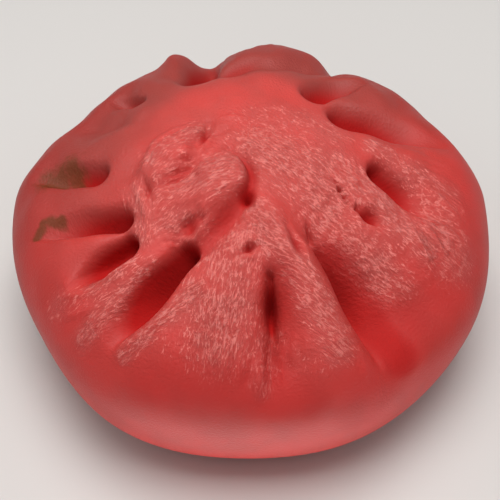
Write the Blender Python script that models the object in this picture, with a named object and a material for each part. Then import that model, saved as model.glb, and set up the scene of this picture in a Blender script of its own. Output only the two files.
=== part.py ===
"""A steamed chicken bun: one soft body of dough, pleated round the crown.

The bun is a round sphere mesh laid over a plain dome, ring by ring, and every
pleat, pit, ridge and swelling is one soft stroke drawn over that dome.
Strokes are placed on a flat map of the skin: an azimuth in degrees, counted
from +X towards +Y, and an arc in millimetres, measured over the dome from the
crown. Lengths are millimetres up to the last step, which makes metres.
"""

from math import pi

import bmesh
import bpy
import numpy as np

MM = 0.001

# Driving sizes of the bun, in millimetres
BELLY_RADIUS = 55.0
DOME_HEIGHT = 52.5
BELLY_HEIGHT = 26.0
FOOT_RADIUS = 44.0
SHOULDER_POWER = 2.15
UNDERSIDE_POWER = 2.0

# Radius of the uneven belly every 30 degrees, from +X towards +Y
BELLY_RADII = (55.0, 50.2, 48.0, 47.4, 46.3, 47.4, 54.8, 55.0, 57.4, 56.0, 57.2, 56.9)

# Usual rounding at the bottom of a crease, so that no fold is a knife cut
CREASE_ROUNDING = 0.7

# How a pleat runs out: its slot gets shallow and narrow, its valley stays wide.
# The reach is the share of the slot's depth that is left at its middle, and the
# head is how wide the slot starts, as a share of its width further out.
SLOT_REACH = 0.4
SLOT_END_WIDTH = 0.3
SLOT_SET_OUT = 0.9
SLOT_STEEPNESS = 2.6
VALLEY_START_WIDTH = 0.8
VALLEY_SET_OUT = 0.6
VALLEY_STEEPNESS = 1.15

# How closely the soft form is drawn, and how many triangles are kept
SEGMENTS = 256
RINGS = 176
FOOT_RINGS_SHARE = 0.10
KEPT_TRIANGLES = 11000

# Finish of steamed, coloured dough
DOUGH_COLOUR = (0.53, 0.078, 0.080, 1.0)
DOUGH_ROUGHNESS = 0.42


class Stroke:
    """One fold, ridge or swelling, from its inner end to its outer end."""

    def __init__(self, start, end, width, height, bow=0.0, skew=1.0, steep=2.0, tuck=0.0,
                 lean=0.0, rounding=CREASE_ROUNDING):
        self.start = start    # azimuth and arc of the inner end
        self.end = end        # azimuth and arc of the outer end
        self.width = width    # half widths at the start, the middle and the end
        self.height = height  # rise at the same three places, a fold is below zero
        self.bow = bow        # how far the middle bends towards larger azimuths
        self.skew = skew      # widens the side of larger azimuths
        self.steep = steep    # 2 is a soft trough, 4 has steep walls
        self.tuck = tuck      # how far the inner end reaches in under its lip
        self.lean = lean      # how far the bottom leans towards larger azimuths
        self.rounding = rounding  # softness of the bottom


def pleat(lip, end, slot, valley, bow=0.0, skew=1.0, tuck=2.5, lean=0.0, reach=SLOT_REACH,
          head=1.0):
    """A pleat is a deep slot that opens under a lip, where two soft lobes meet."""
    slot_width, slot_depth = slot
    valley_width, valley_depth = valley
    slot_stroke = Stroke(
        set_out(lip, end, slot_width * head * SLOT_SET_OUT), end,
        width=(slot_width * head, slot_width, slot_width * SLOT_END_WIDTH),
        height=(-slot_depth, -slot_depth * reach, 0.0),
        bow=bow, skew=skew, steep=SLOT_STEEPNESS, tuck=tuck, lean=lean)
    valley_stroke = Stroke(
        set_out(lip, end, valley_width * VALLEY_SET_OUT), end,
        width=(valley_width * VALLEY_START_WIDTH, valley_width, valley_width),
        height=(-valley_depth, -valley_depth, 0.0),
        bow=bow, skew=skew, steep=VALLEY_STEEPNESS)
    return [slot_stroke, valley_stroke]


def set_out(lip, end, distance):
    """The place on the map that lies a distance out from the lip, towards the end."""
    first = on_map(*lip)
    along = on_map(*end) - first
    place = first + along * distance / np.linalg.norm(along)
    return np.degrees(np.arctan2(place[1], place[0])), np.hypot(place[0], place[1])


def deep_pleats():
    """The pleats that end in a pit, counter-clockwise from the right."""
    pleats = []
    pleats += pleat((-9, 27.9), (-15.5, 53), slot=(1.9, 5.8), valley=(4.8, 3.4), bow=-2, skew=1.6,
                    lean=-1.2, reach=0.2, head=0.85)
    pleats += pleat((28, 24.2), (11, 54), slot=(2.2, 6.0), valley=(5.6, 4.2), skew=1.9, lean=-1.2,
                    reach=0.45)
    pleats += pleat((51, 24), (43, 45), slot=(1.9, 4.8), valley=(3.6, 2.2), bow=1, skew=1.6, lean=-0.8,
                    reach=0.5)
    pleats += pleat((118, 30), (101, 66), slot=(3.3, 8), valley=(6, 7))
    pleats += pleat((146, 34), (146, 49), slot=(1.5, 3.0), valley=(4.5, 1.8))
    pleats += pleat((-170.5, 32.8), (179.5, 54), slot=(2.3, 4.2), valley=(5.0, 2.6), skew=0.7, lean=1.2)
    pleats += pleat((-144.4, 31.6), (-163, 56), slot=(2.4, 6.6), valley=(5.5, 2.9), skew=0.42,
                    lean=2.0, reach=0.32)
    pleats += pleat((-135.5, 33.5), (-141, 51), slot=(2.1, 6), valley=(4.2, 2.2), skew=0.6, tuck=2.0,
                    lean=-0.8, reach=0.75)
    pleats += pleat((-113.8, 28.2), (-123.5, 54), slot=(3.2, 9.5), valley=(5.2, 3.0), skew=0.56,
                    lean=2.6, reach=0.75, head=0.6)
    return pleats


def creases():
    """Folds without a pit, where two lobes meet along a line."""
    return [
        Stroke((-82.5, 32), (-83.5, 46), (0.6, 1.0, 0.5), (-2.6, -7.0, -1.4), steep=1.5, lean=0.6,
               rounding=0.3),
        Stroke((-82.2, 31.4), (-85, 62), (2.6, 5.6, 5.0), (-3.8, -6.0, 0), steep=1.0, rounding=0.5),
        Stroke((-48, 42), (-48, 62), (7.0, 9.0, 8.0), (-0.8, -2.0, -1.0), skew=1.2),
        Stroke((-58.5, 26.5), (-59.5, 61), (2.0, 2.6, 2.2), (-6.5, -10.5, -1.0), bow=0.8, skew=4.6,
               steep=1.0, lean=-1.2),
        Stroke((-59.5, 28.5), (-60, 56), (0.9, 1.2, 0.7), (-2.0, -3.6, 0.0), bow=0.8, skew=1.8,
               steep=1.6, lean=-0.8, rounding=0.2),
        Stroke((-32, 27.6), (-33.2, 33.2), (0.7, 1.0, 0.7), (-2.6, -4.2, -0.8), skew=1.6,
               steep=1.7, lean=-1.2, rounding=0.2),
        Stroke((160, 28), (162, 52), (3, 5, 5), (-1.0, -3.0, 0), steep=1.2),
        Stroke((92, 27), (50, 50), (3, 4, 4), (-1.0, -3.5, -1.0), bow=2, steep=1.2),
        Stroke((100, 29), (80, 36), (2.5, 2.5, 2.5), (-2.0, -1.5, 0)),
        Stroke((60, 38), (61, 66), (3.5, 4.0, 4.0), (-0.5, -3.8, -1.5), steep=1.3),
    ]


def ridges():
    """Raised spokes and swellings of dough between the pleats."""
    return [
        Stroke((-86, 13), (-66, 50), (3.5, 4.5, 6), (1.0, 2.5, 1.0), bow=-1),
        Stroke((118, 40), (112, 62), (4, 4.5, 4.5), (0.8, 3.6, 1.8)),
        Stroke((82, 37), (80, 62), (6, 7, 7), (0.6, 0.9, 0.5)),
    ]


def crown():
    """The twisted flap of dough that closes the top."""
    return [
        Stroke((-159.6, 21), (-176.7, 12.3), (3.5, 4.0, 3.4), (1.9, 2.7, 2.3), steep=3.6),
        Stroke((-142.6, 18), (-116.5, 12), (5.8, 7.0, 6.2), (1.5, 2.8, 2.8), bow=-1, steep=3.2),
        Stroke((-105, 12.2), (-115, 23.6), (3.4, 3.0, 1.8), (0.8, 1.6, 1.0), steep=2.2),
        Stroke((-156, 5.1), (-93, 15.4), (0.6, 0.8, 0.8), (-1.3, -2.6, -2.2), bow=2.7, skew=2.0,
               steep=1.5, rounding=0.3),
        Stroke((-94, 15.4), (-111, 27), (1.6, 2.2, 2.8), (-2.0, -2.3, -2.0), bow=0.3, steep=1.7),
        Stroke((150, 10.6), (-170, 11.6), (0.8, 0.9, 0.8), (-0.9, -1.5, -1.3), bow=0.8, steep=1.5),
        Stroke((-148.7, 11.4), (-149.8, 24.2), (0.8, 0.9, 0.7), (-1.0, -2.0, -0.8), bow=0.9, steep=1.5),
        Stroke((-123, 26.2), (-117.5, 22.2), (0.8, 1.1, 0.8), (-1.2, -2.2, -1.2)),
    ]


def dome_profile(samples=600):
    """Arc, radius and height along the plain dome, crown to middle of the foot."""
    turn = np.linspace(0.0, pi / 2, samples)
    shoulder_r = BELLY_RADIUS * np.sin(turn) ** (2 / SHOULDER_POWER)
    shoulder_z = BELLY_HEIGHT + (DOME_HEIGHT - BELLY_HEIGHT) * np.cos(turn) ** (2 / SHOULDER_POWER)
    under_r = FOOT_RADIUS + (BELLY_RADIUS - FOOT_RADIUS) * np.cos(turn) ** (2 / UNDERSIDE_POWER)
    under_z = BELLY_HEIGHT * (1.0 - np.sin(turn) ** (2 / UNDERSIDE_POWER))
    foot_r = np.linspace(FOOT_RADIUS, 0.0, samples)
    foot_z = np.zeros(samples)
    radius = np.concatenate([shoulder_r, under_r[1:], foot_r[1:]])
    height = np.concatenate([shoulder_z, under_z[1:], foot_z[1:]])
    steps = np.hypot(np.diff(radius), np.diff(height))
    arc = np.concatenate([[0.0], np.cumsum(steps)])
    return arc, radius, height


def on_map(azimuth, arc):
    """Flat map point of an azimuth in degrees and an arc in millimetres."""
    angle = np.radians(azimuth)
    return np.array([arc * np.cos(angle), arc * np.sin(angle)])


def centreline(stroke, pieces=24):
    """Points along a stroke on the map: a parabola through its bowed middle."""
    start = on_map(*stroke.start)
    end = on_map(*stroke.end)
    along = end - start
    side = np.array([-along[1], along[0]]) / np.linalg.norm(along)
    t = np.linspace(0.0, 1.0, pieces + 1)[:, None]
    return start + along * t + side * stroke.bow * 4.0 * t * (1.0 - t)


def three_places(t, values):
    """A smooth value along a stroke, through its start, middle and end values."""
    first, middle, last = values
    ease = t * t * (3.0 - 2.0 * t)
    return (first * (1.0 - ease) * (1.0 - 2.0 * ease)
            + middle * 4.0 * ease * (1.0 - ease)
            + last * ease * (2.0 * ease - 1.0))


def press(stroke, points):
    """Rise, and shift in under its lip, that a stroke gives to points on the map."""
    line = centreline(stroke)
    nearest = np.full(len(points), 1e9)
    place = np.zeros(len(points))
    side = np.zeros(len(points))
    count = len(line) - 1
    for i in range(count):
        a = line[i]
        step = line[i + 1] - a
        reach = points - a
        t = np.clip(reach @ step / (step @ step), 0.0, 1.0)
        gap = reach - t[:, None] * step
        distance = np.hypot(gap[:, 0], gap[:, 1])
        closer = distance < nearest
        nearest[closer] = distance[closer]
        place[closer] = (i + t[closer]) / count
        cross = (step[0] * gap[:, 1] - step[1] * gap[:, 0]) / np.linalg.norm(step)
        side[closer] = cross[closer] / np.maximum(distance[closer], 1e-6)
    width = three_places(place, stroke.width)
    width = width * (1.0 + (stroke.skew - 1.0) * (0.5 + 0.5 * side))
    away = np.hypot(nearest, stroke.rounding) - stroke.rounding
    fall = np.exp(-(away / width) ** stroke.steep)
    rise = three_places(place, stroke.height) * fall
    inward = line[0] - line[count // 4]
    inward = inward / np.linalg.norm(inward)
    tuck = stroke.tuck * (fall * (1.0 - place) ** 2) ** 2
    chord = (line[-1] - line[0]) / np.linalg.norm(line[-1] - line[0])
    leftward = np.array([-chord[1], chord[0]])
    lean = stroke.lean * fall ** 2 * (1.0 - place ** 2)
    return rise, tuck[:, None] * inward + lean[:, None] * leftward


def belly_radius(azimuth):
    """Radius of the uneven belly at an azimuth in radians, eased between its marks."""
    marks = np.array(BELLY_RADII)
    place = (azimuth / (2 * pi) % 1.0) * len(marks)
    before = np.floor(place).astype(int) % len(marks)
    part = place - np.floor(place)
    ease = part * part * (3.0 - 2.0 * part)
    return marks[before] * (1.0 - ease) + marks[(before + 1) % len(marks)] * ease


def shape_skin(azimuth, arc):
    """Place every point of the skin, from its azimuth in radians and its arc."""
    profile_arc, profile_radius, profile_height = dome_profile()
    radius = np.interp(arc, profile_arc, profile_radius)
    height = np.interp(arc, profile_arc, profile_height)
    step = 0.5
    radius_slope = (np.interp(arc + step, profile_arc, profile_radius)
                    - np.interp(arc - step, profile_arc, profile_radius))
    height_slope = (np.interp(arc + step, profile_arc, profile_height)
                    - np.interp(arc - step, profile_arc, profile_height))
    length = np.hypot(radius_slope, height_slope)
    along_r = radius_slope / length
    along_z = height_slope / length
    points = np.stack([arc * np.cos(azimuth), arc * np.sin(azimuth)], axis=1)
    rise = np.zeros(len(points))
    tuck = np.zeros((len(points), 2))
    for stroke in deep_pleats() + creases() + ridges() + crown():
        stroke_rise, stroke_tuck = press(stroke, points)
        rise += stroke_rise
        tuck += stroke_tuck
    belly = belly_radius(azimuth) / BELLY_RADIUS
    radius = radius * (1.0 + (belly - 1.0) * np.clip(radius / BELLY_RADIUS, 0.0, 1.0))
    outward = np.stack([np.cos(azimuth), np.sin(azimuth)], axis=1)
    sideways = np.stack([-np.sin(azimuth), np.cos(azimuth)], axis=1)
    tuck_out = (tuck * outward).sum(axis=1)
    tuck_side = (tuck * sideways).sum(axis=1)
    radius = radius - along_z * rise + along_r * tuck_out
    height = height + along_r * rise + along_z * tuck_out
    x = radius * outward[:, 0] + tuck_side * sideways[:, 0]
    y = radius * outward[:, 1] + tuck_side * sideways[:, 1]
    return np.stack([x, y, height], axis=1)


def ring_arc(share):
    """Arc of a ring, from its share of the way between the sphere's poles."""
    profile_arc, profile_radius, profile_height = dome_profile()
    foot_start = profile_arc[-1] - FOOT_RADIUS
    foot_share = 1.0 - FOOT_RINGS_SHARE
    return np.interp(share, [0.0, foot_share, 1.0], [0.0, foot_start, profile_arc[-1]])


def make_bun():
    """The whole bun as one closed body that stands on its flat foot."""
    mesh = bpy.data.meshes.new("bun")
    ball = bmesh.new()
    bmesh.ops.create_uvsphere(ball, u_segments=SEGMENTS, v_segments=RINGS, radius=1.0)
    unit = np.array([vertex.co[:] for vertex in ball.verts])
    azimuth = np.arctan2(unit[:, 1], unit[:, 0])
    share = np.arccos(np.clip(unit[:, 2], -1.0, 1.0)) / pi
    skin = shape_skin(azimuth, ring_arc(share)) * MM
    middle = (skin.min(axis=0) + skin.max(axis=0)) / 2
    skin[:, :2] -= middle[:2]
    for vertex, place in zip(ball.verts, skin):
        vertex.co = place
    ball.to_mesh(mesh)
    ball.free()
    bun = bpy.data.objects.new("bun", mesh)
    mesh.shade_smooth()
    return bun


def dough_material():
    material = bpy.data.materials.new("steamed_dough")
    material.use_nodes = True
    shader = material.node_tree.nodes["Principled BSDF"]
    shader.inputs["Base Color"].default_value = DOUGH_COLOUR
    shader.inputs["Roughness"].default_value = DOUGH_ROUGHNESS
    shader.inputs["Metallic"].default_value = 0.0
    return material


def main():
    for thing in list(bpy.data.objects):
        bpy.data.objects.remove(thing)
    collection = bpy.data.collections.new("chicken_baozi")
    bpy.context.scene.collection.children.link(collection)
    bun = make_bun()
    collection.objects.link(bun)
    bun.data.materials.append(dough_material())
    quads = SEGMENTS * (RINGS - 2)
    caps = SEGMENTS * 2
    thin = bun.modifiers.new("fewer_triangles", "DECIMATE")
    thin.ratio = KEPT_TRIANGLES / (quads * 2 + caps)


main()
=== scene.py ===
# %% [markdown]
# # A steamed chicken bun, folded in dough
#
# The real thing is one ball of dyed wheat dough round a filling. The cook gathers the skin to the
# top, pleats it and twists it shut, and steam swells it, so soft lobes push against each other and
# the folds between them stay as deep, dark pits. This lesson draws that skin as one closed mesh:
# a plain dome first, then every fold as one soft stroke, then the fine wrinkles, then the dough.

# %% Load the solid bun that the drawn skin stands for
from math import cos, pi, radians, sin

import bmesh
import bpy
import numpy as np
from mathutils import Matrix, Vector


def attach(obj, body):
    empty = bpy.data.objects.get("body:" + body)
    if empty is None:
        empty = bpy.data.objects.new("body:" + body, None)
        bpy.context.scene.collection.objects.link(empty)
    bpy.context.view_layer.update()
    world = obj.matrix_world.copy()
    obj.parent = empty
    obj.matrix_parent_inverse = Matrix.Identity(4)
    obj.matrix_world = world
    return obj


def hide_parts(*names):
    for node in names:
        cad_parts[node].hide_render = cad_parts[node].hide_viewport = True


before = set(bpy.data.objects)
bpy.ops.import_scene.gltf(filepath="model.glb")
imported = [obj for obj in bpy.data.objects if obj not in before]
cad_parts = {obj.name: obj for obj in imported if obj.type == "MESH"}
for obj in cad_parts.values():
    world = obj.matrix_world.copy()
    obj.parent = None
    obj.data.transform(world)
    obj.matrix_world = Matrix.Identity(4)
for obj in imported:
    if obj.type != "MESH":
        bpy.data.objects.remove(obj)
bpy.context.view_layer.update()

# %% [markdown]
# ## The plain dome
#
# Under all its folds the bun is a low dome on a flat foot. A lathe curve could make it, but the
# folds have to follow the skin, so the dome is written as a profile: how far out and how high the
# skin is after so many millimetres of arc from the crown. Every later step speaks of a place on the
# skin by its azimuth and that arc, which is how one would point at the real bun.

# %% Sizes of the dome, in millimetres
MM = 0.001
BELLY_RADIUS = 55.0
DOME_HEIGHT = 52.5
BELLY_HEIGHT = 26.0
FOOT_RADIUS = 44.0
SHOULDER_POWER = 2.15
UNDERSIDE_POWER = 2.0

# radius of the uneven belly every 30 degrees, from +X towards +Y
BELLY_RADII = (55.0, 50.2, 48.0, 47.4, 46.3, 47.4, 54.8, 55.0, 57.4, 56.0, 57.2, 56.9)


def dome_profile(samples=600):
    """Arc, radius and height along the plain dome, crown to middle of the foot."""
    turn = np.linspace(0.0, pi / 2, samples)
    shoulder_r = BELLY_RADIUS * np.sin(turn) ** (2 / SHOULDER_POWER)
    shoulder_z = BELLY_HEIGHT + (DOME_HEIGHT - BELLY_HEIGHT) * np.cos(turn) ** (2 / SHOULDER_POWER)
    under_r = FOOT_RADIUS + (BELLY_RADIUS - FOOT_RADIUS) * np.cos(turn) ** (2 / UNDERSIDE_POWER)
    under_z = BELLY_HEIGHT * (1.0 - np.sin(turn) ** (2 / UNDERSIDE_POWER))
    foot_r = np.linspace(FOOT_RADIUS, 0.0, samples)
    foot_z = np.zeros(samples)
    radius = np.concatenate([shoulder_r, under_r[1:], foot_r[1:]])
    height = np.concatenate([shoulder_z, under_z[1:], foot_z[1:]])
    steps = np.hypot(np.diff(radius), np.diff(height))
    return np.concatenate([[0.0], np.cumsum(steps)]), radius, height


def belly_radius(azimuth):
    """Radius of the uneven belly at an azimuth in radians, eased between its marks."""
    marks = np.array(BELLY_RADII)
    place = (azimuth / (2 * pi) % 1.0) * len(marks)
    before = np.floor(place).astype(int) % len(marks)
    part = place - np.floor(place)
    ease = part * part * (3.0 - 2.0 * part)
    return marks[before] * (1.0 - ease) + marks[(before + 1) % len(marks)] * ease


print("arc from crown to foot, mm:", round(float(dome_profile()[0][-1] - FOOT_RADIUS), 1))

# %% [markdown]
# ## A fold as one stroke
#
# A fold in dough has a beginning, a middle and an end, a width that changes along it, and often
# one steep side and one gentle side. Sculpting by hand would do, but a stroke with those few
# numbers can be placed, measured and repeated. Where the power of its cross section is one, the
# two sides are rounded like lobes and meet in a crease; at two or more it is a trough. Left is
# meant as one goes from its start to its end, seen from above.

# %% The stroke and what it does to the skin
CREASE_ROUNDING = 0.7
FAR = 7.0          # how weak a stroke has to be, as a power of e, before it is left out
MAIN_PIECES = 24   # straight pieces of a main stroke's centre line
FINE_PIECES = 6
MASK_PIECES = 10


class Stroke:
    """One fold, ridge or swelling, from its inner end to its outer end."""

    def __init__(self, start, end, width, height, bow=0.0, skew=1.0, steep=2.0, tuck=0.0,
                 lean=0.0, rounding=CREASE_ROUNDING):
        self.start, self.end = start, end       # azimuth in degrees and arc in millimetres
        self.width, self.height = width, height  # at the start, the middle and the end
        self.bow, self.skew = bow, skew         # bend, and how much wider the left side is
        self.steep, self.tuck = steep, tuck     # cross section, and reach in under the lip
        self.lean = lean                        # how far the bottom leans to the left
        self.rounding = rounding                # softness of the bottom


def on_map(azimuth, arc):
    """Flat map point of an azimuth in degrees and an arc in millimetres."""
    angle = np.radians(azimuth)
    return np.array([arc * np.cos(angle), arc * np.sin(angle)])


def centreline(stroke, pieces):
    """Points along a stroke on the map: a parabola through its bowed middle."""
    start, end = on_map(*stroke.start), on_map(*stroke.end)
    along = end - start
    side = np.array([-along[1], along[0]]) / np.linalg.norm(along)
    t = np.linspace(0.0, 1.0, pieces + 1)[:, None]
    return start + along * t + side * stroke.bow * 4.0 * t * (1.0 - t)


def three_places(t, values):
    """A smooth value along a stroke, through its start, middle and end values."""
    first, middle, last = values
    ease = t * t * (3.0 - 2.0 * t)
    return (first * (1.0 - ease) * (1.0 - 2.0 * ease)
            + middle * 4.0 * ease * (1.0 - ease)
            + last * ease * (2.0 * ease - 1.0))


def press(stroke, points, pieces):
    """Which points feel the stroke, how strongly, their rise, and their tuck under the lip."""
    line = centreline(stroke, pieces)
    widest = max(stroke.width) * max(1.0, stroke.skew) * FAR ** (1.0 / min(stroke.steep, 2.0))
    middle = (line[0] + line[-1]) / 2
    reach = np.linalg.norm(line - middle, axis=1).max() + widest
    felt = np.flatnonzero(np.hypot(*(points - middle).T) < reach)
    near = points[felt]
    nearest = np.full(len(near), 1e9)
    place = np.zeros(len(near))
    side = np.zeros(len(near))
    for i in range(pieces):
        step = line[i + 1] - line[i]
        away = near - line[i]
        t = np.clip(away @ step / (step @ step), 0.0, 1.0)
        gap = away - t[:, None] * step
        distance = np.hypot(gap[:, 0], gap[:, 1])
        closer = distance < nearest
        nearest[closer] = distance[closer]
        place[closer] = (i + t[closer]) / pieces
        cross = (step[0] * gap[:, 1] - step[1] * gap[:, 0]) / np.linalg.norm(step)
        side[closer] = cross[closer] / np.maximum(distance[closer], 1e-6)
    width = three_places(place, stroke.width) * (1.0 + (stroke.skew - 1.0) * (0.5 + 0.5 * side))
    away = np.hypot(nearest, stroke.rounding) - stroke.rounding
    fall = np.exp(-(away / width) ** stroke.steep)
    rise = three_places(place, stroke.height) * fall
    inward = line[0] - line[pieces // 4]
    inward = inward / np.linalg.norm(inward)
    tuck = stroke.tuck * (fall * (1.0 - place) ** 2) ** 2
    chord = (line[-1] - line[0]) / np.linalg.norm(line[-1] - line[0])
    lean = stroke.lean * fall ** 2 * (1.0 - place ** 2)
    return felt, fall, rise, tuck[:, None] * inward + lean[:, None] * np.array([-chord[1], chord[0]])


# %% [markdown]
# ## Pleats that end in a pit
#
# Where the cook's thumb pushed the skin in, a pleat is a narrow slot that opens under a lip and a
# wide valley that runs out over the belly. Two strokes on the same line make one pleat. A deep
# Boolean cut could make a sharper hole, but it would leave no rounded lip. The numbers were read
# off the bun one pleat at a time, going round from the right.

# %% Pleats
SLOT_SET_OUT = 0.9       # how far out a slot starts, in its own widths
SLOT_END_WIDTH = 0.3     # how narrow it ends
SLOT_STEEPNESS = 2.6
VALLEY_SET_OUT = 0.6
VALLEY_START_WIDTH = 0.8
VALLEY_STEEPNESS = 1.15


def set_out(lip, end, distance):
    """The place on the map that lies a distance out from the lip, towards the end."""
    first = on_map(*lip)
    along = on_map(*end) - first
    place = first + along * distance / np.linalg.norm(along)
    return np.degrees(np.arctan2(place[1], place[0])), np.hypot(place[0], place[1])


def pleat(lip, end, slot, valley, bow=0.0, skew=1.0, tuck=2.5, lean=0.0, reach=0.4, head=1.0):
    """A deep slot under a lip, and the valley where two soft lobes meet.

    The reach is the share of the slot's depth that is left at its middle, and the head is how
    wide the slot starts, as a share of its width further out.
    """
    slot_width, slot_depth = slot
    valley_width, valley_depth = valley
    return [
        Stroke(set_out(lip, end, slot_width * head * SLOT_SET_OUT), end,
               (slot_width * head, slot_width, slot_width * SLOT_END_WIDTH),
               (-slot_depth, -slot_depth * reach, 0.0), bow, skew, SLOT_STEEPNESS, tuck, lean),
        Stroke(set_out(lip, end, valley_width * VALLEY_SET_OUT), end,
               (valley_width * VALLEY_START_WIDTH, valley_width, valley_width),
               (-valley_depth, -valley_depth, 0.0), bow, skew, VALLEY_STEEPNESS)]


pleats = (
    pleat((-9, 27.9), (-15.5, 53), slot=(1.9, 5.8), valley=(4.8, 3.4), bow=-2, skew=1.6, lean=-1.2,
          reach=0.2, head=0.85)
    + pleat((28, 24.2), (11, 54), slot=(2.2, 6.0), valley=(5.6, 4.2), skew=1.9, lean=-1.2,
            reach=0.45)
    + pleat((51, 24), (43, 45), slot=(1.9, 4.8), valley=(3.6, 2.2), bow=1, skew=1.6, lean=-0.8,
            reach=0.5)
    + pleat((118, 30), (101, 66), slot=(3.3, 8), valley=(6, 7))
    + pleat((146, 34), (146, 49), slot=(1.5, 3.0), valley=(4.5, 1.8))
    + pleat((-170.5, 32.8), (179.5, 54), slot=(2.3, 4.2), valley=(5.0, 2.6), skew=0.7, lean=1.2)
    + pleat((-144.4, 31.6), (-163, 56), slot=(2.4, 6.6), valley=(5.5, 2.9), skew=0.42, lean=2.0,
            reach=0.32)
    + pleat((-135.5, 33.5), (-141, 51), slot=(2.1, 6), valley=(4.2, 2.2), skew=0.6, tuck=2.0,
            lean=-0.8, reach=0.75)
    + pleat((-113.8, 28.2), (-123.5, 54), slot=(3.2, 9.5), valley=(5.2, 3.0), skew=0.56, lean=2.6,
            reach=0.75, head=0.6))
print("pleats with a pit:", len(pleats) // 2)

# %% [markdown]
# ## Creases, swellings and the twisted crown
#
# The front folds have no pit: two lobes simply meet along a line. Between the folds the dough
# swells, and on top the last twist lies down as a flap. They could be soft spheres joined to the
# dome, but strokes of the same kind, some with a rise instead of a depth, keep one even skin. The
# groove along the flap's edge is wider on its outer side, because the flap overlaps what lies
# beside it.

# %% Creases, swellings and the flap
creases = [
    Stroke((-82.5, 32.0), (-83.5, 46), (0.6, 1.0, 0.5), (-2.6, -7.0, -1.4), steep=1.5, lean=0.6,
           rounding=0.3),
    Stroke((-82.2, 31.4), (-85, 62), (2.6, 5.6, 5.0), (-3.8, -6.0, 0), steep=1.0, rounding=0.5),
    Stroke((-48, 42), (-48, 62), (7.0, 9.0, 8.0), (-0.8, -2.0, -1.0), skew=1.2),
    Stroke((-58.5, 26.5), (-59.5, 61), (2.0, 2.6, 2.2), (-6.5, -10.5, -1.0), bow=0.8, skew=4.6,
           steep=1.0, lean=-1.2),
    Stroke((-59.5, 28.5), (-60, 56), (0.9, 1.2, 0.7), (-2.0, -3.6, 0.0), bow=0.8, skew=1.8,
           steep=1.6, lean=-0.8, rounding=0.2),
    Stroke((-32.0, 27.6), (-33.2, 33.2), (0.7, 1.0, 0.7), (-2.6, -4.2, -0.8), skew=1.6,
           steep=1.7, lean=-1.2, rounding=0.2),
    Stroke((160, 28), (162, 52), (3, 5, 5), (-1.0, -3.0, 0), steep=1.2),
    Stroke((92, 27), (50, 50), (3, 4, 4), (-1.0, -3.5, -1.0), bow=2, steep=1.2),
    Stroke((100, 29), (80, 36), (2.5, 2.5, 2.5), (-2.0, -1.5, 0)),
    Stroke((60, 38), (61, 66), (3.5, 4.0, 4.0), (-0.5, -3.8, -1.5), steep=1.3),
]
swellings = [
    Stroke((-86, 13), (-66, 50), (3.5, 4.5, 6), (1.0, 2.5, 1.0), bow=-1),
    Stroke((118, 40), (112, 62), (4, 4.5, 4.5), (0.8, 3.6, 1.8)),
    Stroke((82, 37), (80, 62), (6, 7, 7), (0.6, 0.9, 0.5)),
]
flap = [
    Stroke((-159.6, 21), (-176.7, 12.3), (3.5, 4.0, 3.4), (1.9, 2.7, 2.3), steep=3.6),
    Stroke((-142.6, 18), (-116.5, 12), (5.8, 7.0, 6.2), (1.5, 2.8, 2.8), bow=-1, steep=3.2),
    Stroke((-105, 12.2), (-115, 23.6), (3.4, 3.0, 1.8), (0.8, 1.6, 1.0), steep=2.2),
    Stroke((-156, 5.1), (-93, 15.4), (0.6, 0.8, 0.8), (-1.3, -2.6, -2.2), bow=2.7, skew=2.0,
           steep=1.5, rounding=0.3),
    Stroke((-94, 15.4), (-111, 27), (1.6, 2.2, 2.8), (-2.0, -2.3, -2.0), bow=0.3, steep=1.7),
    Stroke((150, 10.6), (-170, 11.6), (0.8, 0.9, 0.8), (-0.9, -1.5, -1.3), bow=0.8, steep=1.5),
    Stroke((-148.7, 11.4), (-149.8, 24.2), (0.8, 0.9, 0.7), (-1.0, -2.0, -0.8), bow=0.9, steep=1.5),
    Stroke((-123, 26.2), (-117.5, 22.2), (0.8, 1.1, 0.8), (-1.2, -2.2, -1.2)),
]
main_strokes = pleats + creases + swellings + flap
print("strokes of the main form:", len(main_strokes))

# %% [markdown]
# ## Fine folds
#
# Close up, the skin is torn, pinched and wrinkled where it was twisted. These marks are one or
# two millimetres wide, so they belong in the mesh and not in the material: light has to catch
# their edges from any side. Single marks are strokes of their own, and families of wrinkles that
# fan out from the end of a fold are made by a loop.

# %% Fine folds
FINE_ROUNDING = 0.15
chance = np.random.default_rng(11)


def fine(start, end, width, height, bow=0.0, skew=1.0, steep=2.0):
    """A narrow stroke with one width and one height, fading at both ends."""
    return Stroke(start, end, (width * 0.8, width, width * 0.8), (height * 0.3, height, 0.0),
                  bow, skew, steep, rounding=FINE_ROUNDING)


def drawn(first, middle, last, width, height, skew=1.0):
    """A narrow stroke that passes through three places on the skin."""
    start, end = on_map(*first), on_map(*last)
    along = (end - start) / np.linalg.norm(end - start)
    bow = (on_map(*middle) - (start + end) / 2) @ np.array([-along[1], along[0]])
    return fine(first, last, width, height, bow, skew)


def fan(azimuths, start_arcs, end_arcs, lean, width, height):
    """Wrinkles side by side; each is a ridge, with a little chance in its length and height."""
    made = []
    for azimuth in azimuths:
        start = azimuth + chance.uniform(-0.8, 0.8), chance.uniform(*start_arcs)
        end = azimuth + lean + chance.uniform(-1.5, 1.5), chance.uniform(*end_arcs)
        size = height * chance.uniform(0.5, 1.2)
        made.append(fine(start, end, width * chance.uniform(0.8, 1.2), size,
                         bow=chance.uniform(-0.6, 0.6)))
    return made


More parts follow.
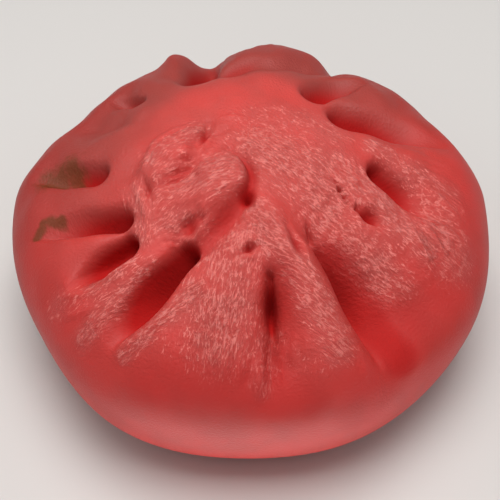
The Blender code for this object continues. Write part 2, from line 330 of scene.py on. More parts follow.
fine_folds = [
    # the upper fold of the flap: two rims, a smooth dish, a gap and the lip under it
    drawn((-159.2, 23.8), (172.0, 18.6), (148.8, 11.8), 0.6, 0.7),
    drawn((-168.8, 20.6), (-179.0, 16.4), (159.2, 11.4), 0.5, 0.9),
    drawn((-163.0, 22.4), (177.0, 17.8), (157.0, 12.2), 0.4, -0.5),
    drawn((154.4, 10.6), (-179.0, 9.6), (-156.8, 11.8), 0.5, -0.9),
    drawn((-156.8, 20.6), (-157.4, 17.9), (-160.0, 15.4), 1.8, -0.6),
    drawn((-166.0, 14.4), (-161.0, 13.6), (-157.0, 13.8), 0.6, 0.6),
    drawn((-153.6, 16.4), (-153.8, 14.6), (-155.2, 12.4), 0.5, -1.1),
    drawn((-149.0, 22.8), (-146.4, 17.6), (-138.4, 12.8), 0.5, 0.8),
    drawn((-146.5, 19.6), (-144.6, 16.8), (-139.5, 14.2), 0.4, 0.4),
    fine((-137.6, 16.3), (-136.0, 14.4), 0.8, -0.8),
    drawn((-160.0, 23.6), (-154.4, 24.4), (-141.6, 25.2), 0.6, -0.8),
    # the lower fold: its upper edge and the pull lines across it
    drawn((-139.2, 10.2), (-137.5, 7.2), (-128.8, 3.8), 0.4, -0.6),
    drawn((-149.6, 24.2), (-138.4, 20.2), (-128.0, 15.8), 0.4, -0.3),
    drawn((-138.4, 24.6), (-126.6, 20.4), (-110.0, 16.4), 0.4, 0.3),
    drawn((-128.0, 25.0), (-114.4, 21.4), (-104.0, 16.5), 0.4, -0.25),
    drawn((-122.0, 18.4), (-110.4, 16.0), (-97.6, 12.8), 0.4, 0.3),
    # what lies behind the flap
    drawn((131.2, 9.4), (114.4, 7.8), (89.6, 6.6), 0.6, 0.45),
    drawn((172.0, 9.0), (150.0, 6.4), (121.6, 7.0), 0.6, -0.5),
    # the dent at the flap's edge and the threads of dough below it
    fine((-90.0, 14.4), (-93.0, 16.0), 0.5, -1.8),
    fine((-93.5, 16.6), (-91.0, 22.0), 0.35, 0.5),
    fine((-93.0, 19.0), (-95.4, 22.4), 0.3, 0.4),
    fine((-91.4, 20.0), (-85.6, 22.8), 0.3, 0.4),
    fine((-91.0, 21.4), (-88.6, 24.2), 0.3, 0.35),
    # pale ridge left of the flap, and the torn skin in front of it
    drawn((-160.0, 26.2), (-145.6, 27.0), (-133.6, 29.8), 0.8, 0.9),
    drawn((-135.0, 29.0), (-132.4, 31.2), (-131.8, 33.4), 0.6, 0.6),
    drawn((-126.0, 29.6), (-122.8, 28.0), (-118.4, 25.8), 0.45, -0.9),
    drawn((-125.0, 28.6), (-121.6, 27.0), (-118.6, 24.8), 0.4, 0.7),
    drawn((-129.0, 29.0), (-126.4, 27.1), (-122.4, 25.2), 0.4, -0.7),
    drawn((-127.8, 28.4), (-125.0, 26.5), (-121.0, 24.8), 0.4, 0.6),
    fine((-130.0, 28.0), (-128.4, 26.4), 0.4, -0.6),
    fine((-124.4, 29.6), (-122.4, 28.4), 0.35, 0.6),
    # small torn hole above the long slit, between two thin rims
    Stroke((-93.6, 27.5), (-86.6, 26.0), (0.4, 0.7, 0.4), (-0.8, -2.1, -0.8),
           bow=0.3, rounding=FINE_ROUNDING),
    drawn((-93.0, 28.8), (-89.6, 28.4), (-86.0, 27.9), 0.45, 0.5),
    drawn((-93.0, 25.6), (-90.0, 24.8), (-86.4, 24.4), 0.4, 0.4),
    # row of pin holes that ends in a dimple
    drawn((-25.0, 19.4), (-30.6, 23.1), (-34.0, 27.4), 0.3, -0.4),
    fine((-26.0, 20.0), (-27.0, 20.8), 0.35, -1.2),
    fine((-28.2, 21.6), (-29.4, 22.6), 0.5, -2.0),
    fine((-30.8, 23.2), (-31.6, 24.0), 0.4, -1.6),
    fine((-32.6, 24.8), (-33.0, 25.5), 0.3, -1.2),
    # torn slit at the head of the right crease, and the red groove beside it
    drawn((-56.0, 21.2), (-57.0, 24.0), (-56.4, 27.4), 0.3, -1.6),
    drawn((-56.0, 27.0), (-56.6, 29.0), (-56.4, 31.0), 0.3, -0.7),
    drawn((-70.4, 22.2), (-70.0, 26.8), (-70.4, 32.0), 0.8, -1.8, skew=1.4),
    # the crease that leaves the long slit, between two ridges
    drawn((-84.0, 41.0), (-84.8, 50.0), (-85.6, 60.0), 0.35, -1.1),
    drawn((-85.8, 43.0), (-87.0, 50.0), (-88.4, 58.0), 0.7, 0.9),
    drawn((-82.2, 43.0), (-82.4, 50.0), (-82.0, 58.0), 0.7, 0.9),
    # ridges along the lips of the front and left pits, and the streaks beyond them
    drawn((-109.0, 37.5), (-113.2, 42.0), (-119.4, 52.0), 0.6, 0.6),
    drawn((-124.0, 35.4), (-126.6, 43.0), (-130.4, 55.0), 0.6, 0.5),
    drawn((-131.5, 36.5), (-133.6, 40.5), (-136.0, 48.0), 0.5, 0.7),
    drawn((-133.6, 45.0), (-137.6, 48.6), (-142.4, 54.2), 0.5, 0.6),
    drawn((-130.5, 47.0), (-134.0, 51.0), (-138.4, 56.0), 0.5, 0.5),
    drawn((-137.0, 43.5), (-141.0, 48.0), (-146.0, 52.5), 0.5, 0.45),
    drawn((-152.0, 43.0), (-155.0, 47.0), (-158.0, 51.0), 0.5, 0.4),
]
# families of wrinkles: below the slit, below the right crease, on the right flank, round the
# right pit, and two faint ones on the lobes at the back
fine_folds += fan(np.arange(-97, -73, 2.2), (42, 46), (51, 61), -1.0, 0.55, 0.8)
fine_folds += fan(np.arange(-64, -52, 2.2), (50, 53), (57, 62), 0.0, 0.6, 0.4)
fine_folds += fan(np.arange(-27, -5, 2.0), (38, 41), (47, 54), -8.0, 0.6, 0.45)
fine_folds += fan(np.arange(-8, 8, 2.5), (33, 38), (45, 50), -3.0, 0.5, 0.35)
fine_folds += fan(np.arange(60, 100, 5.0), (36, 40), (50, 58), 4.0, 0.9, 0.15)
fine_folds += fan(np.arange(100, 122, 3.5), (38, 42), (52, 58), 0.0, 0.8, 0.15)
print("fine folds:", len(fine_folds))

# %% [markdown]
# ## Where the skin is wrinkled
#
# Steamed dough dries into a skin that crinkles finely wherever it was stretched over a lobe, and
# stays smooth low on the belly. Each wrinkled patch is a broad, soft stroke used as a mask, with
# the direction that its wrinkles run in. The same masks later tell the material where to paint
# the crinkles paler as sheen and where to paint highlights in flecks.

# %% Wrinkled patches and their grain
RIDGE_LENGTH = 7.0    # millimetres along a crinkle
RIDGE_SPACING = 2.6   # millimetres from one to the next
RIDGE_WAVES = 16
GRAIN_SPREAD = 24.0   # degrees by which single waves stray from the grain
STEEPEST_GRAIN = 64   # a grain beyond this many degrees counts as running straight out

patches = [
    # start, end, half width, grain in degrees on the map, strength
    ((-28, 3.2), (-36, 22), 8.0, -28, 1.0),      # level top, right of the flap
    ((71, 6.3), (16, 18.7), 6.0, -24, 0.55),     # level top, far side
    ((-143, 18), (-117, 12), 6.0, 30, 0.95),      # the flap's lower fold
    ((-166, 21), (168, 12), 3.6, 35, 0.8),       # the flap's upper fold
    ((-131, 26), (-103, 24), 3.4, 34, 0.8),      # torn skin in front of the flap
    ((-99, 28), (-98, 45), 7.2, 72, 1.0),        # front lobe, left of the slit
    ((-85, 19), (-68, 48), 3.6, -58, 1.0),       # spoke between the slit and the crease
    ((-46, 22), (-44, 45), 4.8, -46, 1.0),       # lobe right of the crease
    ((-17, 20), (-29, 44), 4.2, -40, 1.0),       # rise above the pin holes
    ((-13, 42), (-27, 50), 6.0, -46, 0.9),       # right flank
    ((5, 28), (-8, 46), 2.6, -30, 0.7),          # lip above the right pit
    ((-125, 36), (-130, 54), 2.6, 50, 0.9),      # left edge of the big front pit
    ((-107, 36), (-119, 52), 1.6, 50, 1.0),      # right edge of the big front pit
    ((-152, 27), (-135, 31), 3.0, -80, 0.7),     # lips of the left pits
    ((-132, 37), (-136, 46), 2.0, 50, 0.8),      # below the third left pit
    ((-134, 46), (-141, 55), 3.5, 40, 0.5),      # streaks low on the left
    ((-110, 48), (-74, 51), 4.6, 85, 0.3),       # fading down the front
    ((-84, 44), (-87, 54), 2.6, 85, 0.8),        # ridges below the long slit
    ((-8, 35), (-13, 42), 2.4, -50, 0.6),        # bowl below the right pit
]


def crinkles(points, grain, length, across, waves, seed):
    """Wavy ridges from -1 to 1 that run along the grain, from many plane waves."""
    draw = np.random.default_rng(seed)
    total = np.zeros(len(points))
    for _ in range(waves):
        tilt = np.radians(grain + 90 + draw.normal(0.0, GRAIN_SPREAD))
        size = 2 * pi / (across * draw.uniform(0.75, 1.5))
        drift = 2 * pi / (length * draw.uniform(0.7, 1.5))
        wave = (points[:, 0] * (size * np.cos(tilt) + drift * np.sin(tilt))
                + points[:, 1] * (size * np.sin(tilt) - drift * np.cos(tilt)))
        total += np.cos(wave + draw.uniform(0, 2 * pi))
    return total / np.sqrt(waves / 2)


def patch_mask(points, start, end, width, steep=3.0):
    """One inside the patch and falling to nothing round it."""
    mask = np.zeros(len(points))
    stroke = Stroke(start, end, (width,) * 3, (1, 1, 1), steep=steep)
    felt, fall, _, _ = press(stroke, points, MASK_PIECES)
    mask[felt] = fall
    return mask


# %% [markdown]
# ## The skin
#
# A sphere from Blender's own tool gives rings round the crown, close together where the folds are
# and wider apart under the belly. Every vertex is moved to its place on the dome, pushed along
# the dome's normal by the strokes, and pulled in under the lips. Moving the vertices of a sphere
# keeps the mesh closed, which carving holes out of it would not promise.

# %% Lay the rings on the dome and press the strokes in
SEGMENTS = 512
RINGS = 192
RING_SHARES = (0.0, 0.08, 0.50, 0.78, 0.94, 1.0)    # share of the rings down to the arcs below
RING_ARCS = (0.0, 8.0, 36.0, 58.0)      # then the start of the foot, and its middle
UNDULATION = 0.22                       # slow unevenness of the dough, in millimetres
SWELL_LENGTH = 30.0                     # how long one slow swell is
SWELL_SPACINGS = (11.0, 9.0)            # and how far apart the two families of them are
SWELL_WAVES = 12
CRINKLE = 0.14                          # height of the crinkled skin
CRINKLES_END = 62.0                     # arc where the skin is smooth, down on the belly
CRINKLES_FADE = 14.0
SMOOTH_HOLLOW = 2.8                     # a hollow this deep has no crinkles
SOFT_TROUGH = 1.4                       # a cross section steeper than this counts as a hollow


def ring_arc(share):
    """Arc of a ring, from its share of the way between the sphere's poles."""
    end = dome_profile()[0][-1]
    return np.interp(share, RING_SHARES, RING_ARCS + (end - FOOT_RADIUS, end))


def add_strokes(strokes, points, pieces):
    """Rise and tuck that strokes give to the points, and how deep their narrow hollows are."""
    rise = np.zeros(len(points))
    hollow = np.zeros(len(points))
    tuck = np.zeros((len(points), 2))
    for stroke in strokes:
        felt, fall, stroke_rise, stroke_tuck = press(stroke, points, pieces)
        rise[felt] += stroke_rise
        tuck[felt] += stroke_tuck
        if stroke.steep > SOFT_TROUGH:
            hollow[felt] += np.clip(-stroke_rise, 0.0, None)
    return rise, tuck, hollow


def place_on_dome(azimuth, arc, rise, tuck):
    """Points in millimetres, moved off the plain dome along and across its normal."""
    profile_arc, profile_radius, profile_height = dome_profile()
    radius = np.interp(arc, profile_arc, profile_radius)
    height = np.interp(arc, profile_arc, profile_height)
    step = 0.5
    along_r = (np.interp(arc + step, profile_arc, profile_radius)
               - np.interp(arc - step, profile_arc, profile_radius))
    along_z = (np.interp(arc + step, profile_arc, profile_height)
               - np.interp(arc - step, profile_arc, profile_height))
    length = np.hypot(along_r, along_z)
    along_r, along_z = along_r / length, along_z / length
    belly = belly_radius(azimuth) / BELLY_RADIUS
    radius = radius * (1.0 + (belly - 1.0) * np.clip(radius / BELLY_RADIUS, 0.0, 1.0))
    outward = np.stack([np.cos(azimuth), np.sin(azimuth)], axis=1)
    sideways = np.stack([-np.sin(azimuth), np.cos(azimuth)], axis=1)
    tuck_out = (tuck * outward).sum(axis=1)
    tuck_side = (tuck * sideways).sum(axis=1)
    radius = radius - along_z * rise + along_r * tuck_out
    height = height + along_r * rise + along_z * tuck_out
    flat = radius[:, None] * outward + tuck_side[:, None] * sideways
    return np.column_stack([flat, height])


ball = bmesh.new()
bmesh.ops.create_uvsphere(ball, u_segments=SEGMENTS, v_segments=RINGS, radius=1.0)
skin_mesh = bpy.data.meshes.new("bun_skin")
ball.to_mesh(skin_mesh)
ball.free()
unit = np.empty(len(skin_mesh.vertices) * 3)
skin_mesh.vertices.foreach_get("co", unit)
unit = unit.reshape(-1, 3)
azimuth = np.arctan2(unit[:, 1], unit[:, 0])
arc = ring_arc(np.arccos(np.clip(unit[:, 2], -1.0, 1.0)) / pi)
points = np.stack([arc * np.cos(azimuth), arc * np.sin(azimuth)], axis=1)

main_rise, tuck, hollow = add_strokes(main_strokes, points, MAIN_PIECES)
fine_rise, _, pinched = add_strokes(fine_folds, points, FINE_PIECES)

on_top = np.clip((CRINKLES_END - arc) / CRINKLES_FADE, 0.0, 1.0)
slow = (crinkles(points, 0, SWELL_LENGTH, SWELL_SPACINGS[0], SWELL_WAVES, seed=3)
        + crinkles(points, 90, SWELL_LENGTH, SWELL_SPACINGS[1], SWELL_WAVES, seed=4))
fleck = np.zeros((len(points), 3))   # one mask for each of three directions
crinkled = np.zeros(len(points))
for number, (start, end, width, grain, strength) in enumerate(patches):
    mask = patch_mask(points, start, end, width, steep=2.0) * strength
    mask *= np.clip((SMOOTH_HOLLOW - hollow) / 2.0, 0.0, 1.0)
    wave = crinkles(points, grain, RIDGE_LENGTH, RIDGE_SPACING, RIDGE_WAVES, seed=20 + number)
    crinkled += mask * np.clip(1.0 - 2.0 * np.abs(wave), -1.0, 1.0)
    if abs(grain) >= STEEPEST_GRAIN:
        direction = 2
    else:
        direction = 0 if grain < 0 else 1
    fleck[:, direction] = np.maximum(fleck[:, direction], mask)
detail = fine_rise + (UNDULATION * 0.5 * slow + CRINKLE * crinkled) * on_top
skin = place_on_dome(azimuth, arc, main_rise + detail, tuck)
print("skin points:", len(skin), " deepest fold, mm:", round(float(-main_rise.min()), 1))

# %% [markdown]
# ## Standing where the solid stands
#
# The solid bun was centred on its own box. The drawn skin is moved the same way, by the box of its
# main form alone, so that the fine wrinkles can't shift it. Blender could set an origin from the
# bounds, but then every wrinkle would count.

# %% Centre the skin and make the object
main_form = place_on_dome(azimuth, arc, main_rise, tuck)
middle = (main_form.min(axis=0) + main_form.max(axis=0)) / 2
skin[:, :2] -= middle[:2]
skin[:, 2] = np.maximum(skin[:, 2], 0.0)    # nothing dips below the floor
skin_mesh.vertices.foreach_set("co", (skin * MM).ravel())
skin_mesh.shade_smooth()
bun = bpy.data.objects.new("bun_skin", skin_mesh)
bpy.context.scene.collection.objects.link(bun)
print("moved to the middle by, mm:", [round(float(-side), 2) for side in middle[:2]])

# %% [markdown]
# ## Where the skin gets painted shade, and where it is stained
#
# Hollows, fine folds, the right crease and the low front are painted a deeper red as shade, the
# far side is painted duller as shade, and two folds on the left are stained brown. The material
# has to know where. A painted texture would need an image, so each of these is kept as a value
# per vertex, drawn with the same strokes as the folds.

# %% Painted shade and stains of the skin
PINCH_SHADE = 1.5      # painted shade: how much deeper a fine fold is coloured than it is
SHADE_PATCH_DEPTH = 5.0      # painted shade: the hollow, in millimetres, that a full shade patch is coloured like
WHOLE_ARC = 60.0       # arc that counts as one, from the crown down
FAR_SHADE_SLOPE = 0.35      # the painted shade of the far side lies across the map at a slant
FAR_SHADE_START, FAR_SHADE_FADE = -22.0, 44.0
FAR_SHADE_FROM_CROWN, FAR_SHADE_CROWN_FADE = 16.0, 16.0

# painted shade: patches coloured deeper red in the right crease, round the long slit and low down
shade_patches = [
    # start, end, half width, strength
    ((-56, 32), (-54, 57), 5.5, 0.55),     # floor of the right crease
    ((-80, 32), (-84, 52), 4.0, 0.38),     # round the long slit
    ((-40, 50), (-66, 64), 9.0, 0.28),     # low on the right lobe
    ((-78, 58), (-112, 56), 6.0, 0.30),    # low on the front
]
stains = [
    # start, end, half width
    ((-178.2, 48.0), (-179.6, 41.5), 3.3),   # filling the first left fold
    ((-161.5, 44.8), (-163.6, 48.6), 0.9),   # a hook in the second, in two strokes
    ((-163.6, 48.6), (-161.4, 52.0), 0.8),
]


def keep_on_mesh(name, kind, values):
    """Stores a value per vertex, for the material to read."""
    field = "value" if kind == "FLOAT" else "vector"
    made = skin_mesh.attributes.new(name, kind, "POINT")
    made.data.foreach_set(field, np.ascontiguousarray(values).ravel())


patch_shade = np.zeros(len(points))
for start, end, width, strength in shade_patches:
    patch_shade = np.maximum(patch_shade, patch_mask(points, start, end, width) * strength)
stain = np.zeros(len(points))
for start, end, width in stains:
    stain = np.maximum(stain, patch_mask(points, start, end, width, steep=1.6))
# painted shade: the far side, away from the crown, is coloured duller and darker
slant = points[:, 1] - FAR_SHADE_SLOPE * points[:, 0]
far_shade = (np.clip((slant - FAR_SHADE_START) / FAR_SHADE_FADE, 0.0, 1.0)
        * np.clip((arc - FAR_SHADE_FROM_CROWN) / FAR_SHADE_CROWN_FADE, 0.0, 1.0))
# painted shade: how deep a red each point gets, from narrow hollows, fine folds and patches
painted_shade_depth = np.maximum(hollow + PINCH_SHADE * pinched, SHADE_PATCH_DEPTH * patch_shade)
keep_on_mesh("skin_map", "FLOAT_VECTOR", np.column_stack([points, np.zeros(len(points))]))
keep_on_mesh("fleck", "FLOAT_VECTOR", fleck)
keep_on_mesh("hollow", "FLOAT", painted_shade_depth)
keep_on_mesh("tone", "FLOAT_VECTOR",
             np.column_stack([far_shade, stain, np.clip(arc / WHOLE_ARC, 0.0, 1.0)]))
print("triangles:", sum(len(face.vertices) - 2 for face in skin_mesh.polygons),
      " stained points:", int((stain > 0.5).sum()))

# %% [markdown]
# ## Dough
#
# Steamed wheat dough, dyed red, is a soft solid full of tiny bubbles. Light goes in a little way
# and comes out redder, so it glows at its edges; the deep red in its folds is painted shade. Its
# skin is slightly moist: a broad, weak gloss that breaks into flecks on every crinkle, and the
# flecks are painted highlights as well. One principled shader does all of it, with subsurface
# scattering for the glow. Volume scattering would be nearer to the real thing, but it takes far
# longer to render and shows little more.

# %% Helpers for materials
def linear(code):
    """sRGB hex to the linear colour that shaders work in."""
    parts = [int(code[i:i + 2], 16) / 255 for i in (1, 3, 5)]
    return tuple(p / 12.92 if p <= 0.04045 else ((p + 0.055) / 1.055) ** 2.4 for p in parts) + (1.0,)


def add_node(tree, kind, settings=None, links=None):
    """Adds one node with its settings, its socket values and its links."""
    made = tree.nodes.new(kind)
    for name, value in (settings or {}).items():
        setattr(made, name, value)
    for name, value in (links or {}).items():
        socket = made.inputs[name]
        if isinstance(value, bpy.types.NodeSocket):
            tree.links.new(value, socket)
        else:
            socket.default_value = value
    return made


# %% The dyed dough and what the mesh tells it
DOUGH = linear("#CF3833")        # dyed dough as one sees it in even light
PAINTED_SHEEN_PINK = linear("#FA8F86")   # painted sheen and highlights: on the top, the crinkles and the flecks
PAINTED_SHADE_RED = linear("#B20A07")   # painted shade: the deep red of hollows, fine folds, shade patches and the low belly
DOUGH_DULL_AND_FAR_SHADE = linear("#92352E")   # random duller clouds, and painted shade on the far side
SCORCH = linear("#68350F")       # brown filling that has soaked through

dough = bpy.data.materials.new("steamed_wheat_dough_dyed_red")
dough.use_nodes = True
tree = dough.node_tree
tree.nodes.clear()
skin_map = add_node(tree, "ShaderNodeAttribute", {"attribute_name": "skin_map"}).outputs["Vector"]
# painted shade in hollows, fine folds and patches, read from the mesh
hollow_shade = add_node(tree, "ShaderNodeAttribute", {"attribute_name": "hollow"}).outputs["Fac"]
fleck_masks = add_node(tree, "ShaderNodeAttribute", {"attribute_name": "fleck"})
masks = add_node(tree, "ShaderNodeSeparateXYZ", None, {"Vector": fleck_masks.outputs["Vector"]})
tones = add_node(tree, "ShaderNodeAttribute", {"attribute_name": "tone"})
tone = add_node(tree, "ShaderNodeSeparateXYZ", None, {"Vector": tones.outputs["Vector"]})
far_side_shade, stained, down_the_side = (tone.outputs[axis] for axis in "XYZ")
print("tones read from the mesh:", [node.attribute_name for node in tree.nodes
                                    if node.bl_idname == "ShaderNodeAttribute"])

# %% [markdown]
# ## Flecks and threads on the crinkles
#
# A crinkled skin catches light in flecks about half a millimetre across and three times as long,
# and in thin curling threads between them. Both lie along the crinkles. Noise stretched along the
# grain gives the flecks, and the line where a second noise passes its middle value gives the
# threads; both are painted highlights in the colour, and they make the skin glossier too. A real
# thread is perhaps a tenth of a millimetre wide, too fine to show here, so it is drawn about twice
# as wide. A Voronoi pattern would look like scales.

# %% Noises for the flecks and threads
FLECK_SCALE = 1.9                # for each millimetre
THREAD_SCALE = 1.15
CLUMP_SCALE = 0.45
ALONG_GRAIN = (0.30, 1.0, 1.0)   # the map squeezed along the grain, so the noise is drawn out
CLUMP_SHARE = 0.5                # how much the clumps add to the flecks
MASK_SHARE = 0.24                # and how much a strong mask does
FLECK_STRENGTH = 0.5             # next to the threads
SMOOTHLY = {"interpolation_type": "SMOOTHSTEP"}

# a mask, and the turn of its grain in degrees
grain_turns = [("X", 34.0), ("Y", -32.0), ("Z", -78.0)]
clumps = add_node(tree, "ShaderNodeTexNoise", None, {
    "Vector": skin_map, "Scale": CLUMP_SCALE, "Detail": 2.0, "Roughness": 0.5}).outputs["Fac"]
noises = []
for axis, turn in grain_turns:
    turned = add_node(tree, "ShaderNodeMapping", {"vector_type": "POINT"}, {
        "Vector": skin_map, "Rotation": (0, 0, radians(turn))}).outputs["Vector"]
    stretched = add_node(tree, "ShaderNodeMapping", {"vector_type": "POINT"}, {
        "Vector": turned, "Scale": ALONG_GRAIN}).outputs["Vector"]
    grain = add_node(tree, "ShaderNodeTexNoise", {"noise_type": "FBM", "normalize": True}, {
        "Vector": stretched, "Scale": FLECK_SCALE, "Detail": 5.0, "Roughness": 0.72,
        "Distortion": 0.25}).outputs["Fac"]
    curl = add_node(tree, "ShaderNodeTexNoise", None, {
        "Vector": stretched, "Scale": THREAD_SCALE, "Detail": 3.0, "Roughness": 0.6,
        "Distortion": 0.5}).outputs["Fac"]
    noises.append((masks.outputs[axis], grain, curl))
print("grain directions:", len(noises))

# %% What catches the light, and how the grain stands up
catching, relief = None, None
for mask, grain, curl in noises:
    broken = add_node(tree, "ShaderNodeMath", {"operation": "MULTIPLY_ADD"}, {
        0: clumps, 1: CLUMP_SHARE, 2: grain}).outputs[0]
    thinned = add_node(tree, "ShaderNodeMath", {"operation": "MULTIPLY_ADD"}, {
        0: mask, 1: MASK_SHARE, 2: broken}).outputs[0]

    # threads: where the curling noise is close to its middle, in the denser flecks
    off_middle = add_node(tree, "ShaderNodeMath", {"operation": "SUBTRACT"}, {
        0: curl, 1: 0.5}).outputs[0]
    distance = add_node(tree, "ShaderNodeMath", {"operation": "ABSOLUTE"}, {
        0: off_middle}).outputs[0]
    line = add_node(tree, "ShaderNodeMapRange", SMOOTHLY, {
        "Value": distance, "From Min": 0.006, "From Max": 0.065, "To Min": 1.0, "To Max": 0.0,
    }).outputs["Result"]
    dense = add_node(tree, "ShaderNodeMapRange", SMOOTHLY, {
        "Value": thinned, "From Min": 0.80, "From Max": 1.02}).outputs["Result"]
    thread = add_node(tree, "ShaderNodeMath", {"operation": "MULTIPLY"}, {
        0: line, 1: dense}).outputs[0]

    # flecks on top, and both fade out at the edge of the mask
    densest = add_node(tree, "ShaderNodeMapRange", SMOOTHLY, {
        "Value": thinned, "From Min": 0.94, "From Max": 1.16}).outputs["Result"]
    bright = add_node(tree, "ShaderNodeMath", {"operation": "MULTIPLY_ADD"}, {
        0: densest, 1: FLECK_STRENGTH, 2: thread}).outputs[0]
    inside = add_node(tree, "ShaderNodeMapRange", SMOOTHLY, {
        "Value": mask, "From Min": 0.02, "From Max": 0.4}).outputs["Result"]
    part = add_node(tree, "ShaderNodeMath", {"operation": "MULTIPLY"}, {
        0: bright, 1: inside}).outputs[0]
    swell = add_node(tree, "ShaderNodeMath", {"operation": "MULTIPLY"}, {
        0: grain, 1: mask}).outputs[0]

    # the three directions are added up
    if catching is None:
        catching, relief = part, swell
    else:
        catching = add_node(tree, "ShaderNodeMath", {"operation": "ADD"}, {
            0: catching, 1: part}).outputs[0]
        relief = add_node(tree, "ShaderNodeMath", {"operation": "ADD"}, {
            0: relief, 1: swell}).outputs[0]
print("nodes so far:", len(tree.nodes))

# %% [markdown]
# ## Colour of the dough
#
# The colour is laid on in layers: even dye, cloudy with kneading, painted shade on the far side,
# painted sheen on the top and on the crinkles, painted highlights on the flecks, painted shade
# low down and in the hollows, and last the brown stains with their ragged edges. Each layer is
# one mix, steered by a noise or by a value from the mesh, which keeps every layer easy to change.

# %% What steers the layers
RAGGEDNESS = 1.3     # how far noise moves the edge of a stain

cloudy = add_node(tree, "ShaderNodeTexNoise", None, {
    "Vector": skin_map, "Scale": 0.09, "Detail": 2.0, "Roughness": 0.5}).outputs["Fac"]
ragged = add_node(tree, "ShaderNodeTexNoise", None, {
    "Vector": skin_map, "Scale": 0.5, "Detail": 4.0, "Roughness": 0.65}).outputs["Fac"]
two_masks = add_node(tree, "ShaderNodeMath", {"operation": "ADD"}, {
    0: masks.outputs["X"], 1: masks.outputs["Y"]}).outputs[0]
wrinkled = add_node(tree, "ShaderNodeMath", {"operation": "ADD"}, {
    0: two_masks, 1: masks.outputs["Z"]}).outputs[0]
stain_edge = add_node(tree, "ShaderNodeMath", {"operation": "MULTIPLY_ADD"}, {
    0: ragged, 1: RAGGEDNESS, 2: -RAGGEDNESS / 2}).outputs[0]
stain_spread = add_node(tree, "ShaderNodeMath", {"operation": "ADD"}, {
    0: stained, 1: stain_edge}).outputs[0]

# %% Layers of colour
layers = {
    # what steers it, from and to, its share there, and its colour
    "clouds": (cloudy, 0.35, 0.7, 0.0, 0.35, DOUGH_DULL_AND_FAR_SHADE),
    # painted shade: the far side coloured duller and darker
    "far side": (far_side_shade, 0.0, 1.0, 0.0, 0.88, DOUGH_DULL_AND_FAR_SHADE),
    "painted sheen on top": (down_the_side, 0.25, 0.75, 0.12, 0.06, PAINTED_SHEEN_PINK),
    # painted sheen over the crinkled patches
    "crinkled skin": (wrinkled, 0.1, 1.0, 0.0, 0.16, PAINTED_SHEEN_PINK),
    # painted highlights: the flecks and threads
    "flecks": (catching, 0.0, 1.1, 0.0, 0.85, PAINTED_SHEEN_PINK),
    # painted shade: deeper red low on the belly
    "low belly": (down_the_side, 0.65, 0.95, 0.0, 0.32, PAINTED_SHADE_RED),
    # painted shade: deep red in hollows, fine folds and patches
    "hollows": (hollow_shade, 0.4, 3.6, 0.0, 1.0, PAINTED_SHADE_RED),
    "stains": (stain_spread, 0.25, 1.0, 0.0, 0.8, SCORCH),
}
colour = DOUGH
shares = {}
for layer, (steer, low, high, first, last, tint) in layers.items():
    shares[layer] = add_node(tree, "ShaderNodeMapRange", SMOOTHLY, {
        "Value": steer, "From Min": low, "From Max": high, "To Min": first, "To Max": last,
    }).outputs["Result"]
    colour = add_node(tree, "ShaderNodeMix", {"data_type": "RGBA", "label": layer}, {
        "Factor": shares[layer], "A": colour, "B": tint}).outputs["Result"]
print("layers of colour:", list(layers))

# %% [markdown]
# ## Gloss and glow
#
# Steamed dough is a wet starch gel with air in it. Its IOR is near that of water, 1.33, and a
# little above it for the starch. The crinkles are satin, the smooth belly duller, and the pits
# matt, because what they would mirror is dough and not a lamp. Light spreads up to three
# millimetres through the dough and keeps its red best. The pores, half a millimetre wide and
# finer, and the grain of the crinkles are a bump, because the mesh is no finer than they are.

# %% Gloss, pores and glow
PORE_HEIGHT = 0.22     # next to the grain of the crinkles
FLECK_GLOSS = -0.07    # what a fleck adds to the roughness
PIT_MATTNESS = 0.35    # and what the bottom of a pit adds

satin = add_node(tree, "ShaderNodeMapRange", SMOOTHLY, {
    "Value": wrinkled, "From Min": 0.1, "From Max": 0.9, "To Min": 0.52, "To Max": 0.31,
}).outputs["Result"]
glossy = add_node(tree, "ShaderNodeMath", {"operation": "MULTIPLY_ADD"}, {
    0: catching, 1: FLECK_GLOSS, 2: satin}).outputs[0]
roughness = add_node(tree, "ShaderNodeMath", {"operation": "MULTIPLY_ADD"}, {
    0: shares["hollows"], 1: PIT_MATTNESS, 2: glossy}).outputs[0]
pores = add_node(tree, "ShaderNodeTexNoise", None, {
    "Vector": skin_map, "Scale": 1.6, "Detail": 3.0, "Roughness": 0.6}).outputs["Fac"]
bump_height = add_node(tree, "ShaderNodeMath", {"operation": "MULTIPLY_ADD"}, {
    0: pores, 1: PORE_HEIGHT, 2: relief}).outputs[0]
bump = add_node(tree, "ShaderNodeBump", None, {
    "Height": bump_height, "Strength": 0.9, "Distance": 0.0010}).outputs["Normal"]
shader = add_node(tree, "ShaderNodeBsdfPrincipled", {"subsurface_method": "RANDOM_WALK"}, {
    "Base Color": colour, "Normal": bump, "Roughness": roughness, "IOR": 1.38,
    "Subsurface Weight": 0.25, "Subsurface Radius": (1.0, 0.25, 0.2),
    "Subsurface Scale": 0.003}).outputs["BSDF"]
add_node(tree, "ShaderNodeOutputMaterial", None, {"Surface": shader})
skin_mesh.materials.append(dough)
print("nodes of the dough:", len(tree.nodes))

# %% [markdown]
# ## Floor, light and camera
#
# Food is lit softly from above and a little behind, so that the folds show by their own shade.
# A pale floor throws light back under the belly, and a small flat lamp on the floor in front helps
# it, as a white card does in a studio. A single sun lamp would give hard shadows that dough seldom
# shows. The camera looks down at about fifty degrees, as someone does who is about to eat.

# %% Floor
floor_mesh = bpy.data.meshes.new("floor")
sheet = bmesh.new()
bmesh.ops.create_grid(sheet, x_segments=2, y_segments=2, size=1.5)
sheet.to_mesh(floor_mesh)
sheet.free()
floor = bpy.data.objects.new("floor", floor_mesh)
bpy.context.scene.collection.objects.link(floor)
table = bpy.data.materials.new("matt_table_top")
table.use_nodes = True
table.node_tree.nodes["Principled BSDF"].inputs["Base Color"].default_value = linear("#DAD6D2")
table.node_tree.nodes["Principled BSDF"].inputs["Roughness"].default_value = 0.7
floor_mesh.materials.append(table)

# %% Light
BUN_MIDDLE = (0.0, 0.0, 0.02)


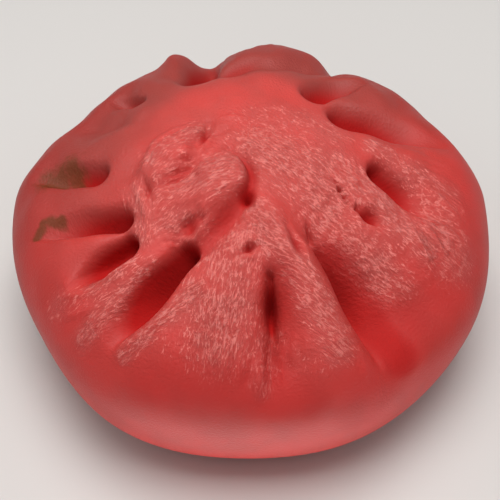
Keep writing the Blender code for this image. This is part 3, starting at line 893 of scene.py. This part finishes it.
def soft_light(name, place, size, watts, target=BUN_MIDDLE):
    """A rectangular lamp that the camera doesn't see, turned to a target."""
    lamp = bpy.data.lights.new(name, "AREA")
    lamp.shape = "RECTANGLE"
    lamp.size, lamp.size_y = size
    lamp.energy = watts
    made = bpy.data.objects.new(name, lamp)
    made.location = place
    made.rotation_euler = (Vector(target) - Vector(place)).to_track_quat("-Z", "Y").to_euler()
    made.visible_camera = False
    bpy.context.scene.collection.objects.link(made)


soft_light("ceiling", (0.0, 0.04, 0.62), (0.35, 0.35), 3.3)
soft_light("low_fill", (-0.14, -0.54, 0.22), (0.6, 0.6), 0.58)
soft_light("left_wall", (-0.44, 0.0, 0.44), (0.5, 0.5), 0.75)
soft_light("right_wall", (0.44, 0.0, 0.44), (0.5, 0.5), 0.6)
soft_light("low_card", (0.02, -0.085, 0.001), (0.14, 0.06), 0.036, target=(0.02, -0.085, 1.0))
print("lamps:", len(bpy.data.lights))

# %% Room
world = bpy.data.worlds.new("room")
bpy.context.scene.world = world
world.use_nodes = True
world.node_tree.nodes["Background"].inputs["Color"].default_value = linear("#E6EAF2")
world.node_tree.nodes["Background"].inputs["Strength"].default_value = 0.04

# %% Camera
ELEVATION = radians(53.0)
DISTANCE = 0.232
PICTURE = 500.0       # rows and columns of the picture
FRAME_ROW = 229.5     # row of the picture that shows the middle of the bun

camera_data = bpy.data.cameras.new("camera")
camera = bpy.data.objects.new("camera", camera_data)
bpy.context.scene.collection.objects.link(camera)
target = Vector((0.0, 0.0, DOME_HEIGHT * MM / 2))
back = Vector((0.0, -cos(ELEVATION), sin(ELEVATION)))
camera.location = target + back * DISTANCE
camera.rotation_euler = (-back).to_track_quat("-Z", "Y").to_euler()
camera_data.sensor_width = 36.0
camera_data.lens = 72.0
camera_data.shift_y = -(PICTURE / 2 - FRAME_ROW) / PICTURE
camera_data.clip_start = 0.01
bpy.context.scene.camera = camera
bpy.context.scene.view_settings.view_transform = "Standard"
print("camera from the bun's middle, mm:", round(DISTANCE / MM))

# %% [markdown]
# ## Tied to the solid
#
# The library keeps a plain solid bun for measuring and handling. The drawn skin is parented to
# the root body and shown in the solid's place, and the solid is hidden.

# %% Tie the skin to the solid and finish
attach(bun, "root")
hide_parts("bun")
